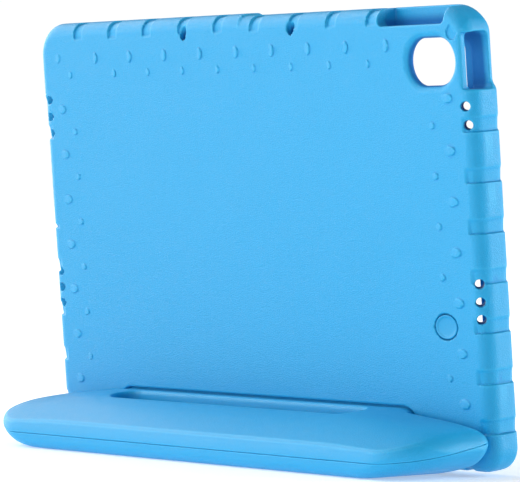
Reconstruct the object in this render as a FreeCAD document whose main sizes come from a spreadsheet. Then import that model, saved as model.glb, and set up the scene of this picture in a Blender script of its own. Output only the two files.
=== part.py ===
import FreeCAD, Part
import math
import os
import Sketcher
import PartDesign
from FreeCAD import Vector, Placement, Rotation

# Foam case for an 11-inch class tablet, with a D-shaped handle hinged at the
# lower edge of its back. The handle is folded out as a stand.
#
# Every piece is drawn in the case's own frame: X to the right seen from the
# back, Y from the back face (Y = 0) towards the screen (Y = +depth), Z up
# from the lower edge. All pieces then share one placement, which leans the
# case back on its handle by `lean` degrees and sets it on Z = 0.

doc = FreeCAD.newDocument("TabletCase")

# ------------------------------------------------------------------ sheet
sheet = doc.addObject("Spreadsheet::Sheet", "Dimensions")
CELLS = [
    # case
    ("case_width", 282.6), ("case_height", 189.0), ("case_depth", 16.0),
    ("corner_radius", 10.0), ("top_corner_radius", 18.0), ("back_edge_radius", 6.0), ("front_edge_radius", 3.5),
    ("tablet_width", 259.0), ("tablet_height", 163.6), ("tablet_thickness", 7.8),
    ("tablet_corner", 7.0), ("back_wall", 5.0), ("lip_overlap", 1.8), ("lip_overlap_side", 4.5),
    ("lean", 4.8),
    # openings
    ("camera_x", 117.9), ("camera_z", 166.7), ("camera_wide", 25.9), ("camera_high", 18.8), ("camera_bevel", 3.0),
    ("window_top_x0", 88.0), ("window_top_x1", 126.5), ("window_top_z", 181.5),
    ("window_side_z0", 155.2), ("window_side_z1", 177.5), ("window_side_x", 135.5),
    ("side_recess_x", 138.9), ("side_recess_z", 156.0),
    ("window_lip", 5.0),
    ("port_z", 113.5), ("port_long", 23.0), ("port_high", 9.0),
    ("hole_dia", 4.4), ("speaker_x", 136.0), ("mic_z", 181.7),
    ("groove_wide", 5.6), ("groove_deep", 1.0), ("bump_high", 0.45),
    # oval plug
    ("plug_x", 118.3), ("plug_z", 60.2), ("plug_wide", 12.6), ("plug_tall", 9.8),
    ("plug_gap", 0.45), ("plug_head", 2.0), ("plug_stem_wide", 8.4), ("plug_stem_tall", 5.6),
    # hinge
    ("axis_in", 6.0), ("axis_up", 6.0), ("notch_half", 98.3), ("bar_half", 98.0),
    ("notch_reach", 10.4), ("notch_radius", 4.4), ("knuckle_radius", 4.1),
    ("rod_dia", 4.0), ("rod_half", 110.6), ("socket_outer", 7.2), ("socket_bore", 4.1),
    ("socket_long", 14.0), ("socket_blind", 13.0), ("recess_deep", 2.5), ("recess_top", 26.9),
    # handle
    ("handle_half", 143.0), ("handle_reach", 45.5), ("handle_front_radius", 27.0),
    ("handle_root_radius", 7.0), ("handle_gap", 0.3),
    ("slot_half", 79.0), ("slot_near", 7.5), ("slot_far", 22.0), ("slot_radius", 6.5),
]
for row, (alias, value) in enumerate(CELLS, start=1):
    sheet.set("A%d" % row, alias)
    sheet.set("B%d" % row, str(value))
    sheet.setAlias("B%d" % row, alias)
doc.recompute()
D = dict(CELLS)


def plane(body, role):
    for item in body.Origin.OriginFeatures:
        if item.Role == role:
            return item
    raise RuntimeError("no plane " + role)


def sketch(body, name, role, offset=0.0, expr=None):
    sk = body.newObject("Sketcher::SketchObject", name)
    sk.AttachmentSupport = [(plane(body, role), "")]
    sk.MapMode = "FlatFace"
    sk.AttachmentOffset = Placement(Vector(0, 0, offset), Rotation())
    if expr:
        sk.setExpression("AttachmentOffset.Base.z", expr)
    return sk


def polygon(sk, points):
    n = len(points)
    first = sk.GeometryCount
    for i in range(n):
        a, b = points[i], points[(i + 1) % n]
        sk.addGeometry(Part.LineSegment(Vector(a[0], a[1], 0), Vector(b[0], b[1], 0)), False)
    for i in range(n):
        sk.addConstraint(Sketcher.Constraint("Coincident", first + i, 2, first + (i + 1) % n, 1))
    return first


def rectangle(sk, x0, y0, x1, y1, ex0=None, ey0=None, ex1=None, ey1=None):
    """Axis-parallel rectangle; each given expression drives one side."""
    g = polygon(sk, [(x0, y0), (x1, y0), (x1, y1), (x0, y1)])
    for i, kind in enumerate(("Horizontal", "Vertical", "Horizontal", "Vertical")):
        sk.addConstraint(Sketcher.Constraint(kind, g + i))
    # distances from the sketch origin to the two opposite corners
    for kind, point, value, expr in (
            ("DistanceX", (g, 1), x0, ex0), ("DistanceY", (g, 1), y0, ey0),
            ("DistanceX", (g + 1, 2), x1, ex1), ("DistanceY", (g + 1, 2), y1, ey1)):
        c = sk.addConstraint(Sketcher.Constraint(kind, -1, 1, point[0], point[1], value))
        if expr:
            sk.setExpression("Constraints[%d]" % c, expr)
    return g


def slot_shape(sk, cx, cy, wide, tall):
    """Pill: two straight sides joined by half circles at the left and right."""
    r = tall / 2.0
    half = wide / 2.0 - r
    first = sk.GeometryCount
    axis = Vector(0, 0, 1)
    sk.addGeometry(Part.LineSegment(Vector(cx - half, cy + r, 0), Vector(cx + half, cy + r, 0)), False)
    sk.addGeometry(Part.ArcOfCircle(Part.Circle(Vector(cx + half, cy, 0), axis, r), -math.pi / 2, math.pi / 2), False)
    sk.addGeometry(Part.LineSegment(Vector(cx + half, cy - r, 0), Vector(cx - half, cy - r, 0)), False)
    sk.addGeometry(Part.ArcOfCircle(Part.Circle(Vector(cx - half, cy, 0), axis, r), math.pi / 2, 3 * math.pi / 2), False)
    return first


def pad(body, name, sk, length, expr=None, reversed_=False, midplane=False):
    f = body.newObject("PartDesign::Pad", name)
    f.Profile = sk
    f.Length = length
    if expr:
        f.setExpression("Length", expr)
    f.Reversed = reversed_
    f.Midplane = midplane
    doc.recompute()
    return f


def pocket(body, name, sk, length=None, expr=None, reversed_=False, midplane=False, through=False):
    before = body.Shape.Volume
    f = body.newObject("PartDesign::Pocket", name)
    f.Profile = sk
    if through:
        f.Type = "ThroughAll"
    else:
        f.Length = length
        if expr:
            f.setExpression("Length", expr)
    f.Reversed = reversed_
    f.Midplane = midplane
    doc.recompute()
    if not body.Shape.Volume < before - 1e-3:
        raise RuntimeError(name + " cut nothing")
    return f


def fillet(body, name, base, edges, radius, expr=None):
    f = body.newObject("PartDesign::Fillet", name)
    f.Base = (base, edges)
    f.Radius = radius
    if expr:
        f.setExpression("Radius", expr)
    doc.recompute()
    return f


def edges_where(shape, test):
    out = []
    for i, e in enumerate(shape.Edges, start=1):
        if test(e):
            out.append("Edge%d" % i)
    return out


S = "Dimensions."

# ------------------------------------------------------------------ shell
shell = doc.addObject("PartDesign::Body", "shell")
shell.Label = "shell"
# Sketches on the XZ plane have their normal along -Y, so a reversed pad and
# an unreversed pocket both run from the back face towards the screen.
sk = sketch(shell, "outline", "XZ_Plane")
rectangle(sk, -D["case_width"] / 2, 0, D["case_width"] / 2, D["case_height"],
          "-" + S + "case_width / 2", None, S + "case_width / 2", S + "case_height")
body_pad = pad(shell, "block", sk, D["case_depth"], S + "case_depth", reversed_=True)
if body_pad.Shape.BoundBox.YMax < 1:
    body_pad.Reversed = False
    doc.recompute()

corner = edges_where(body_pad.Shape, lambda e: abs(e.BoundBox.YLength - D["case_depth"]) < 1e-3 and e.BoundBox.ZMax < 1)
rounded = fillet(shell, "lower_corners", body_pad, corner, D["corner_radius"], S + "corner_radius")
corner = edges_where(rounded.Shape, lambda e: abs(e.BoundBox.YLength - D["case_depth"]) < 1e-3
                     and e.BoundBox.ZMin > D["case_height"] - 1 and e.BoundBox.XLength < 1e-3)
rounded = fillet(shell, "upper_corners", rounded, corner, D["top_corner_radius"], S + "top_corner_radius")
back = edges_where(rounded.Shape, lambda e: e.BoundBox.YMax < 1e-4)
rounded = fillet(shell, "back_edge", rounded, back, D["back_edge_radius"], S + "back_edge_radius")
front = edges_where(rounded.Shape, lambda e: e.BoundBox.YMin > D["case_depth"] - 1e-4)
rounded = fillet(shell, "front_edge", rounded, front, D["front_edge_radius"], S + "front_edge_radius")

# tablet space, and the screen opening inside the front lip
mid_z = D["case_height"] / 2
MZ = S + "case_height / 2"


def rounded_pocket(name, half_x, half_z, r, y0, y_expr, deep, deep_expr, ehx, ehz):
    sk = sketch(shell, name + "_sketch", "XZ_Plane", -y0, "-(" + y_expr + ")")
    g = sk.GeometryCount
    ax = Vector(0, 0, 1)
    x0, x1, z0, z1 = -half_x, half_x, mid_z - half_z, mid_z + half_z
    sk.addGeometry(Part.LineSegment(Vector(x0 + r, z0, 0), Vector(x1 - r, z0, 0)), False)
    sk.addGeometry(Part.ArcOfCircle(Part.Circle(Vector(x1 - r, z0 + r, 0), ax, r), -math.pi / 2, 0), False)
    sk.addGeometry(Part.LineSegment(Vector(x1, z0 + r, 0), Vector(x1, z1 - r, 0)), False)
    sk.addGeometry(Part.ArcOfCircle(Part.Circle(Vector(x1 - r, z1 - r, 0), ax, r), 0, math.pi / 2), False)
    sk.addGeometry(Part.LineSegment(Vector(x1 - r, z1, 0), Vector(x0 + r, z1, 0)), False)
    sk.addGeometry(Part.ArcOfCircle(Part.Circle(Vector(x0 + r, z1 - r, 0), ax, r), math.pi / 2, math.pi), False)
    sk.addGeometry(Part.LineSegment(Vector(x0, z1 - r, 0), Vector(x0, z0 + r, 0)), False)
    sk.addGeometry(Part.ArcOfCircle(Part.Circle(Vector(x0 + r, z0 + r, 0), ax, r), math.pi, 3 * math.pi / 2), False)
    order = [(0, 2, 1, 1), (1, 2, 2, 1), (2, 2, 3, 1), (3, 2, 4, 1), (4, 2, 5, 1), (5, 2, 6, 1), (6, 2, 7, 1), (7, 2, 0, 1)]
    for a, pa, b, pb in order:
        sk.addConstraint(Sketcher.Constraint("Tangent", g + a, pa, g + b, pb))
    for a, kind in ((0, "Horizontal"), (4, "Horizontal"), (2, "Vertical"), (6, "Vertical")):
        sk.addConstraint(Sketcher.Constraint(kind, g + a))
    sk.addConstraint(Sketcher.Constraint("Equal", g + 1, g + 3))
    sk.addConstraint(Sketcher.Constraint("Equal", g + 1, g + 5))
    sk.addConstraint(Sketcher.Constraint("Equal", g + 1, g + 7))
    sk.addConstraint(Sketcher.Constraint("Radius", g + 1, r))
    for kind, geo, pos, value, expr in (
            ("DistanceX", 2, 1, x1, ehx), ("DistanceX", 6, 1, x0, "-(" + ehx + ")"),
            ("DistanceY", 0, 1, z0, MZ + " - (" + ehz + ")"), ("DistanceY", 4, 1, z1, MZ + " + (" + ehz + ")")):
        c = sk.addConstraint(Sketcher.Constraint(kind, -1, 1, g + geo, pos, value))
        sk.setExpression("Constraints[%d]" % c, expr)
    return pocket(shell, name, sk, deep, deep_expr)


screen_r = 5.0
# The pockets open towards -Y of the sketch's own side, so each is drawn at
# the face nearest the screen and cuts back from there.
tablet_pocket = rounded_pocket(
    "tablet_space", D["tablet_width"] / 2, D["tablet_height"] / 2, D["tablet_corner"],
    D["back_wall"], S + "back_wall", D["tablet_thickness"], S + "tablet_thickness",
    S + "tablet_width / 2", S + "tablet_height / 2")
if abs(tablet_pocket.Shape.Volume - (rounded.Shape.Volume - 0)) < 1:
    raise RuntimeError("tablet space")
rounded_pocket(
    "screen_opening", D["tablet_width"] / 2 - D["lip_overlap_side"], D["tablet_height"] / 2 - D["lip_overlap"], screen_r,
    D["back_wall"] + D["tablet_thickness"] - 0.5, S + "back_wall + " + S + "tablet_thickness - 0.5",
    12.0, None, S + "tablet_width / 2 - " + S + "lip_overlap_side", S + "tablet_height / 2 - " + S + "lip_overlap")

# camera opening through the back
sk = sketch(shell, "camera_sketch", "XZ_Plane", 1.0)
slot_shape(sk, D["camera_x"], D["camera_z"], D["camera_wide"], D["camera_high"])
camera = pocket(shell, "camera_opening", sk, D["back_wall"] + 2.0, S + "back_wall + 2")
rim = edges_where(camera.Shape, lambda e: e.BoundBox.YMax < 1e-4 and
                  abs(e.BoundBox.Center.x - D["camera_x"]) < D["camera_wide"] / 2 + 0.01 and
                  abs(e.BoundBox.Center.z - D["camera_z"]) < D["camera_high"] / 2 + 0.01)
camera = fillet(shell, "camera_bevel", camera, rim, D["camera_bevel"], S + "camera_bevel")

# button window in the upper edge: open to the tablet's edge, front lip kept
sk = sketch(shell, "window_top_sketch", "XZ_Plane", 1.0)
rectangle(sk, D["window_top_x0"], D["window_top_z"], D["window_top_x1"], D["case_height"] + 3,
          S + "window_top_x0", S + "window_top_z", S + "window_top_x1", S + "case_height + 3")
pocket(shell, "window_top_back", sk, D["case_depth"] - D["window_lip"] + 1.0,
       S + "case_depth - " + S + "window_lip + 1")
sk = sketch(shell, "window_top_inner_sketch", "XZ_Plane", -D["back_wall"], "-" + S + "back_wall")
rectangle(sk, D["window_top_x0"], 172.0, D["window_top_x1"], D["case_height"] + 3,
          S + "window_top_x0", None, S + "window_top_x1", S + "case_height + 3")
pocket(shell, "window_top", sk, D["case_depth"] - D["window_lip"] - D["back_wall"],
       S + "case_depth - " + S + "window_lip - " + S + "back_wall")

# button window in the right side
sk = sketch(shell, "window_side_sketch", "XZ_Plane", 1.0)
rectangle(sk, D["window_side_x"], D["window_side_z0"], D["case_width"] / 2 + 3, D["window_side_z1"],
          S + "window_side_x", S + "window_side_z0", S + "case_width / 2 + 3", S + "window_side_z1")
pocket(shell, "window_side_back", sk, D["case_depth"] - D["window_lip"] + 1.0,
       S + "case_depth - " + S + "window_lip + 1")
sk = sketch(shell, "window_side_inner_sketch", "XZ_Plane", -D["back_wall"] + 1.5, "-" + S + "back_wall + 1.5")
rectangle(sk, 131.0, D["window_side_z0"], D["case_width"] / 2 + 3, D["window_side_z1"],
          None, S + "window_side_z0", S + "case_width / 2 + 3", S + "window_side_z1")
pocket(shell, "window_side_mid", sk, D["case_depth"] - D["window_lip"] - D["back_wall"] + 1.5)
sk = sketch(shell, "window_side_deep_sketch", "XZ_Plane", -D["back_wall"], "-" + S + "back_wall")
rectangle(sk, 125.0, D["window_side_z0"], D["case_width"] / 2 + 3, D["window_side_z1"],
          None, S + "window_side_z0", S + "case_width / 2 + 3", S + "window_side_z1")
pocket(shell, "window_side", sk, D["tablet_thickness"] - 1.8)

# charging port cut-out in the left side
sk = sketch(shell, "port_sketch", "YZ_Plane", -D["case_width"] / 2 - 2, "-" + S + "case_width / 2 - 2")
slot_shape(sk, 0, 0, D["port_long"], D["port_high"])
for i in range(sk.GeometryCount - 1, -1, -1):
    sk.delGeometry(i)
y_mid = D["back_wall"] + D["tablet_thickness"] / 2
rp = D["port_high"] / 2
hp = D["port_long"] / 2 - rp
sk.addGeometry(Part.LineSegment(Vector(y_mid - rp, D["port_z"] - hp, 0), Vector(y_mid - rp, D["port_z"] + hp, 0)), False)
sk.addGeometry(Part.ArcOfCircle(Part.Circle(Vector(y_mid, D["port_z"] + hp, 0), Vector(0, 0, 1), rp), 0, math.pi), False)
sk.addGeometry(Part.LineSegment(Vector(y_mid + rp, D["port_z"] + hp, 0), Vector(y_mid + rp, D["port_z"] - hp, 0)), False)
sk.addGeometry(Part.ArcOfCircle(Part.Circle(Vector(y_mid, D["port_z"] - hp, 0), Vector(0, 0, 1), rp), math.pi, 2 * math.pi), False)
pocket(shell, "port_opening", sk, 20.0, None, reversed_=True)

# sound holes through the rounded back edge of both short sides
sk = sketch(shell, "speaker_sketch", "XZ_Plane", 1.0)
for side in (-1, 1):
    for z in (155.7, 148.1, 140.6, 77.8, 70.6, 63.6):
        if side > 0 and z > 150:
            continue
        sk.addGeometry(Part.Circle(Vector(side * D["speaker_x"], z, 0), Vector(0, 0, 1), D["hole_dia"] / 2), False)
pocket(shell, "speaker_holes", sk, D["back_wall"] + 3.0, S + "back_wall + 3")
sk = sketch(shell, "mic_sketch", "XZ_Plane", 1.0)
for x in (-37.0, 34.0):
    sk.addGeometry(Part.Circle(Vector(x, D["mic_z"], 0), Vector(0, 0, 1), D["hole_dia"] / 2), False)
pocket(shell, "mic_holes", sk, D["back_wall"] + 3.0, S + "back_wall + 3")

# shallow grooves across the edges
sk = sketch(shell, "groove_sketch", "XZ_Plane", 1.0)
gw, gd = D["groove_wide"], D["groove_deep"]
hw, hh = D["case_width"] / 2, D["case_height"]
for k in range(9):
    x = -113.8 + 24.45 * k
    polygon(sk, [(x, hh - gd), (x + gw, hh - gd), (x + gw, hh + 2), (x, hh + 2)])
for side in (-1, 1):
    for k in range(7):
        z = 17.4 + 20.35 * k
        if side < 0 and 96 < z < 126:
            continue
        polygon(sk, [(side * (hw - gd), z), (side * (hw + 2), z), (side * (hw + 2), z + gw), (side * (hw - gd), z + gw)])
for x in (-129.0, 121.0):
    polygon(sk, [(x, -2), (x + gw, -2), (x + gw, gd), (x, gd)])
pocket(shell, "edge_grooves", sk, D["case_depth"] + 2.0, S + "case_depth + 2")
# the right side steps in a little beside its button window
sk = sketch(shell, "side_recess_sketch", "XZ_Plane", 1.0)
rectangle(sk, D["side_recess_x"], D["side_recess_z"], D["case_width"] / 2 + 3, D["case_height"] - 8,
          S + "side_recess_x", S + "side_recess_z", S + "case_width / 2 + 3", S + "case_height - 8")
pocket(shell, "side_recess", sk, D["case_depth"] + 2.0, S + "case_depth + 2")

# oval hole for the plug: wide at the mouth, narrow below
sk = sketch(shell, "plug_mouth_sketch", "XZ_Plane", 1.0)
sk.addGeometry(Part.Ellipse(Vector(D["plug_x"], D["plug_z"], 0), D["plug_wide"] / 2 + D["plug_gap"], D["plug_tall"] / 2 + D["plug_gap"]), False)
pocket(shell, "plug_mouth", sk, D["plug_head"] + 1.0, S + "plug_head + 1")
sk = sketch(shell, "plug_throat_sketch", "XZ_Plane", 1.0)
sk.addGeometry(Part.Ellipse(Vector(D["plug_x"], D["plug_z"], 0), D["plug_stem_wide"] / 2, D["plug_stem_tall"] / 2), False)
pocket(shell, "plug_throat", sk, D["back_wall"] + 2.0, S + "back_wall + 2")

# hinge notch along the lower back edge, with a shallow recess above it
a_in, a_up, nr, reach = D["axis_in"], D["axis_up"], D["notch_radius"], D["notch_reach"]
sk = sketch(shell, "notch_sketch", "YZ_Plane")
g = sk.GeometryCount
pts = [(-2, -2), (reach, -2), (reach, a_up)]
sk.addGeometry(Part.LineSegment(Vector(-2, -2, 0), Vector(reach, -2, 0)), False)
sk.addGeometry(Part.LineSegment(Vector(reach, -2, 0), Vector(reach, a_up, 0)), False)
sk.addGeometry(Part.ArcOfCircle(Part.Circle(Vector(a_in, a_up, 0), Vector(0, 0, 1), nr), 0, math.pi / 2), False)
sk.addGeometry(Part.LineSegment(Vector(a_in, a_up + nr, 0), Vector(D["recess_deep"], a_up + nr, 0)), False)
sk.addGeometry(Part.LineSegment(Vector(D["recess_deep"], a_up + nr, 0), Vector(D["recess_deep"], D["recess_top"], 0)), False)
sk.addGeometry(Part.LineSegment(Vector(D["recess_deep"], D["recess_top"], 0), Vector(-2, D["recess_top"], 0)), False)
sk.addGeometry(Part.LineSegment(Vector(-2, D["recess_top"], 0), Vector(-2, -2, 0)), False)
pocket(shell, "hinge_notch", sk, 2 * D["notch_half"], "2 * " + S + "notch_half", midplane=True)

# bores in the notch's end walls for the two sockets
sk = sketch(shell, "socket_bore_sketch", "YZ_Plane")
sk.addGeometry(Part.Circle(Vector(a_in, a_up, 0), Vector(0, 0, 1), D["socket_outer"] / 2), False)
c = sk.addConstraint(Sketcher.Constraint("Radius", 0, D["socket_outer"] / 2))
sk.setExpression("Constraints[%d]" % c, S + "socket_outer / 2")
pocket(shell, "socket_bores", sk, 2 * (D["notch_half"] + D["socket_long"]),
       "2 * (" + S + "notch_half + " + S + "socket_long)", midplane=True)

# raised drops along three edges of the back
sk = sketch(shell, "bump_sketch", "XZ_Plane", -0.6)
LARGE_A, LARGE_B = 3.1, 1.8
bumps = []
for k in range(9):
    bumps.append((-99.9 + 24.05 * k, 174.0, LARGE_B, LARGE_A))
bumps.append((-126.9, 173.8, 2.5, 2.5))
for k in range(8):
    bumps.append((-86.8 + 24.0 * k, 166.8, 1.2, 1.85))
bumps.append((-119.1, 166.7, 1.5, 1.5))
for side in (-1, 1):
    for k in range(7):
        bumps.append((side * 126.6, 29.3 + 20.36 * k, LARGE_A, LARGE_B))
    for k in range(6):
        if side > 0 and k == 1:
            continue
        bumps.append((side * 118.1, 39.5 + 20.36 * k, 1.85, 1.2))
for x, z, ra, rb in bumps:
    if abs(x - D["camera_x"]) < 17 and z > 160:
        continue
    if ra == rb:
        sk.addGeometry(Part.Circle(Vector(x, z, 0), Vector(0, 0, 1), ra), False)
    elif ra > rb:
        sk.addGeometry(Part.Ellipse(Vector(x + ra, z, 0), Vector(x, z + rb, 0), Vector(x, z, 0)), False)
    else:
        sk.addGeometry(Part.Ellipse(Vector(x, z + rb, 0), Vector(x - ra, z, 0), Vector(x, z, 0)), False)
bump_pad = pad(shell, "drops", sk, 0.6 + D["bump_high"], "0.6 + " + S + "bump_high")
if shell.Shape.BoundBox.YMin > -0.1:
    bump_pad.Reversed = True
    doc.recompute()

# ------------------------------------------------------------------ oval plug
plug = doc.addObject("PartDesign::Body", "oval_plug")
plug.Label = "oval_plug"
sk = sketch(plug, "head_sketch", "XZ_Plane", -0.3)
sk.addGeometry(Part.Ellipse(Vector(D["plug_x"], D["plug_z"], 0), D["plug_wide"] / 2, D["plug_tall"] / 2), False)
head = pad(plug, "head", sk, D["plug_head"] - 0.3, S + "plug_head - 0.3", reversed_=True)
sk = sketch(plug, "stem_sketch", "XZ_Plane", -D["plug_head"] + 0.2, "-" + S + "plug_head + 0.2")
sk.addGeometry(Part.Ellipse(Vector(D["plug_x"], D["plug_z"], 0), D["plug_stem_wide"] / 2, D["plug_stem_tall"] / 2), False)
stem = pad(plug, "stem", sk, D["back_wall"] - D["plug_head"] - 0.2, S + "back_wall - " + S + "plug_head - 0.2", reversed_=True)
head_edge = edges_where(stem.Shape, lambda e: e.BoundBox.YMax < 0.301)
fillet(plug, "head_round", stem, head_edge, 0.6)

# ------------------------------------------------------------------ handle
lean = math.radians(D["lean"])
sin_l, cos_l = math.sin(lean), math.cos(lean)
# lowest point of the leaning case: on the rounded lower back edge
rb = D["back_edge_radius"]
ground = rb * cos_l + rb * sin_l - rb


def table(w):
    """Height in the case frame, at distance w behind the back, of the table."""
    return (ground + w * sin_l) / cos_l


def seam(w):
    """Height in the case frame of the bonded joint between the two halves."""
    return 14.6 - 0.0935 * (w - 7.0)


gap = D["handle_gap"]
reach_h = gap + D["handle_reach"]


def plan_cut(body, name):
    """Trim the prism to the D-shaped plan, and open the finger slot."""
    sk = sketch(body, name + "_sketch", "XY_Plane", -20.0)
    hx, y_in, y_out = D["handle_half"], -gap, -reach_h
    rf, rr = D["handle_front_radius"], D["handle_root_radius"]
    ax = Vector(0, 0, 1)
    polygon(sk, [(-170, 30), (170, 30), (170, -80), (-170, -80)])
    sk.addGeometry(Part.LineSegment(Vector(-hx + rr, y_in, 0), Vector(-98.0, y_in, 0)), False)
    sk.addGeometry(Part.LineSegment(Vector(-98.0, y_in, 0), Vector(-98.0, 12, 0)), False)
    sk.addGeometry(Part.LineSegment(Vector(-98.0, 12, 0), Vector(98.0, 12, 0)), False)
    sk.addGeometry(Part.LineSegment(Vector(98.0, 12, 0), Vector(98.0, y_in, 0)), False)
    sk.addGeometry(Part.LineSegment(Vector(98.0, y_in, 0), Vector(hx - rr, y_in, 0)), False)
    sk.addGeometry(Part.ArcOfCircle(Part.Circle(Vector(hx - rr, y_in - rr, 0), ax, rr), 0, math.pi / 2), False)
    sk.addGeometry(Part.LineSegment(Vector(hx, y_in - rr, 0), Vector(hx, y_out + rf, 0)), False)
    sk.addGeometry(Part.ArcOfCircle(Part.Circle(Vector(hx - rf, y_out + rf, 0), ax, rf), -math.pi / 2, 0), False)
    sk.addGeometry(Part.LineSegment(Vector(hx - rf, y_out, 0), Vector(-hx + rf, y_out, 0)), False)
    sk.addGeometry(Part.ArcOfCircle(Part.Circle(Vector(-hx + rf, y_out + rf, 0), ax, rf), math.pi, 3 * math.pi / 2), False)
    sk.addGeometry(Part.LineSegment(Vector(-hx, y_out + rf, 0), Vector(-hx, y_in - rr, 0)), False)
    sk.addGeometry(Part.ArcOfCircle(Part.Circle(Vector(-hx + rr, y_in - rr, 0), ax, rr), math.pi / 2, math.pi), False)
    cut = pocket(body, name, sk, 80.0, None, reversed_=True)
    sk = sketch(body, name + "_slot_sketch", "XY_Plane", -20.0)
    g = rectangle(sk, -D["slot_half"], -D["slot_far"], D["slot_half"], -D["slot_near"],
                  "-" + S + "slot_half", "-" + S + "slot_far", S + "slot_half", "-" + S + "slot_near")
    slot = pocket(body, name + "_slot", sk, 80.0, None, reversed_=True)
    ends = edges_where(slot.Shape, lambda e: e.BoundBox.XLength < 1e-3 and e.BoundBox.YLength < 1e-3
                       and abs(abs(e.BoundBox.Center.x) - D["slot_half"]) < 1e-3
                       and -D["slot_far"] - 0.01 < e.BoundBox.Center.y < -D["slot_near"] + 0.01)
    fillet(body, name + "_slot_ends", slot, ends, D["slot_radius"], S + "slot_radius")
    return cut


def prism(body, name, points, half, expr):
    """Prism along X of a section given as (distance behind the back, height)."""
    sk = sketch(body, name + "_sketch", "YZ_Plane")
    polygon(sk, [(-w, v) for w, v in points])
    return pad(body, name, sk, 2 * half, expr, midplane=True)


upper = doc.addObject("PartDesign::Body", "handle_upper_half")
upper.Label = "handle_upper_half"
top = 26.4
prism(upper, "upper_section", [
    (-2.2, seam(-2.2)), (reach_h, seam(reach_h)), (reach_h - 0.3, seam(reach_h) + 2.6),
    (reach_h - 1.3, 15.6), (reach_h - 3.3, 18.0), (36.0, 21.2), (29.0, 24.0), (22.0, 26.0),
    (7.5, 26.9), (3.0, 26.7), (0.5, top), (-2.2, top - 0.3)],
    D["handle_half"], "2 * " + S + "handle_half")
plan_cut(upper, "upper_plan")
# ears: the top steps down beside the hinge bar and falls towards the ends
for side, tag in ((-1, "left"), (1, "right")):
    sk = sketch(upper, "ear_sketch_" + tag, "XZ_Plane", 80.0)
    prof = [(97.0, 30.0), (99.0, 26.6), (104.0, 25.0), (114.0, 24.0), (126.0, 22.8), (133.0, 21.8), (139.5, 19.8),
            (142.3, 17.2), (143.3, 13.5), (143.3, 12.0), (150.0, 12.0), (150.0, 30.0)]
    polygon(sk, [(side * x, z) for x, z in prof])
    pocket(upper, "ear_top_" + tag, sk, 100.0, None)

lower = doc.addObject("PartDesign::Body", "handle_lower_half")
lower.Label = "handle_lower_half"
toe = reach_h - 5.5
prism(lower, "lower_section", [
    (gap, table(gap)), (toe, table(toe)), (reach_h - 2.4, table(reach_h) + 1.5),
    (reach_h - 0.6, table(reach_h) + 4.0), (reach_h, seam(reach_h)), (gap, seam(gap))],
    D["handle_half"], "2 * " + S + "handle_half")
# hinge bar: a knuckle about the hinge axis and the neck that carries it
kr = D["knuckle_radius"]
sk = sketch(lower, "bar_sketch", "YZ_Plane")
ax = Vector(0, 0, 1)
sk.addGeometry(Part.LineSegment(Vector(-gap - 1.0, a_up - kr, 0), Vector(a_in, a_up - kr, 0)), False)
sk.addGeometry(Part.ArcOfCircle(Part.Circle(Vector(a_in, a_up, 0), ax, kr), -math.pi / 2, math.pi / 2), False)
sk.addGeometry(Part.LineSegment(Vector(a_in, a_up + kr, 0), Vector(2.2, a_up + kr, 0)), False)
sk.addGeometry(Part.LineSegment(Vector(2.2, a_up + kr, 0), Vector(2.2, seam(-2.2), 0)), False)
sk.addGeometry(Part.LineSegment(Vector(2.2, seam(-2.2), 0), Vector(-gap - 1.0, seam(gap + 1.0), 0)), False)
sk.addGeometry(Part.LineSegment(Vector(-gap - 1.0, seam(gap + 1.0), 0), Vector(-gap - 1.0, a_up - kr, 0)), False)
pad(lower, "hinge_bar", sk, 2 * D["bar_half"], "2 * " + S + "bar_half", midplane=True)
plan_cut(lower, "lower_plan")
# rounded undersides of the ears
for side, tag in ((-1, "left"), (1, "right")):
    sk = sketch(lower, "ear_sketch_" + tag, "XZ_Plane", 80.0)
    prof = [(128.0, -1.0), (128.0, 0.2), (136.0, 3.2), (140.0, 5.8), (142.2, 8.8), (143.3, 12.5), (150.0, 12.5), (150.0, -1.0)]
    polygon(sk, [(side * x, z) for x, z in prof])
    pocket(lower, "ear_under_" + tag, sk, 100.0, None)
# bore for the hinge rod
sk = sketch(lower, "rod_bore_sketch", "YZ_Plane")
sk.addGeometry(Part.Circle(Vector(a_in, a_up, 0), Vector(0, 0, 1), D["rod_dia"] / 2), False)
c = sk.addConstraint(Sketcher.Constraint("Radius", 0, D["rod_dia"] / 2))
sk.setExpression("Constraints[%d]" % c, S + "rod_dia / 2")
pocket(lower, "rod_bore", sk, 2 * D["bar_half"] + 4, "2 * " + S + "bar_half + 4", midplane=True)

# ------------------------------------------------------------------ hinge rod and sockets
rod = doc.addObject("Part::Cylinder", "hinge_rod")
rod.Label = "hinge_rod"
rod.setExpression("Radius", S + "rod_dia / 2")
rod.setExpression("Height", "2 * " + S + "rod_half")

sockets = []
for side, tag in ((-1, "left"), (1, "right")):
    outer = doc.addObject("Part::Cylinder", "socket_outer_" + tag)
    outer.setExpression("Radius", S + "socket_outer / 2")
    outer.setExpression("Height", S + "socket_long")
    bore = doc.addObject("Part::Cylinder", "socket_bore_" + tag)
    bore.setExpression("Radius", S + "socket_bore / 2")
    bore.setExpression("Height", S + "socket_blind")
    cut = doc.addObject("Part::Cut", "hinge_socket_" + tag)
    cut.Label = "hinge_socket_" + tag
    cut.Base = outer
    cut.Tool = bore
    sockets.append((side, cut))
doc.recompute()

# ------------------------------------------------------------------ placements
case_place = Placement(Vector(0, 0, 0), Rotation(Vector(1, 0, 0), D["lean"]))
pieces = [shell, plug, upper, lower]
for obj in pieces:
    obj.Placement = case_place
rod.Placement = case_place.multiply(Placement(Vector(-D["rod_half"], a_in, a_up), Rotation(Vector(0, 1, 0), 90)))
pieces.append(rod)
for side, cut in sockets:
    turn = Rotation(Vector(0, 1, 0), 90 if side > 0 else -90)
    cut.Placement = case_place.multiply(Placement(Vector(side * D["notch_half"], a_in, a_up), turn))
    pieces.append(cut)
doc.recompute()

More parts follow.
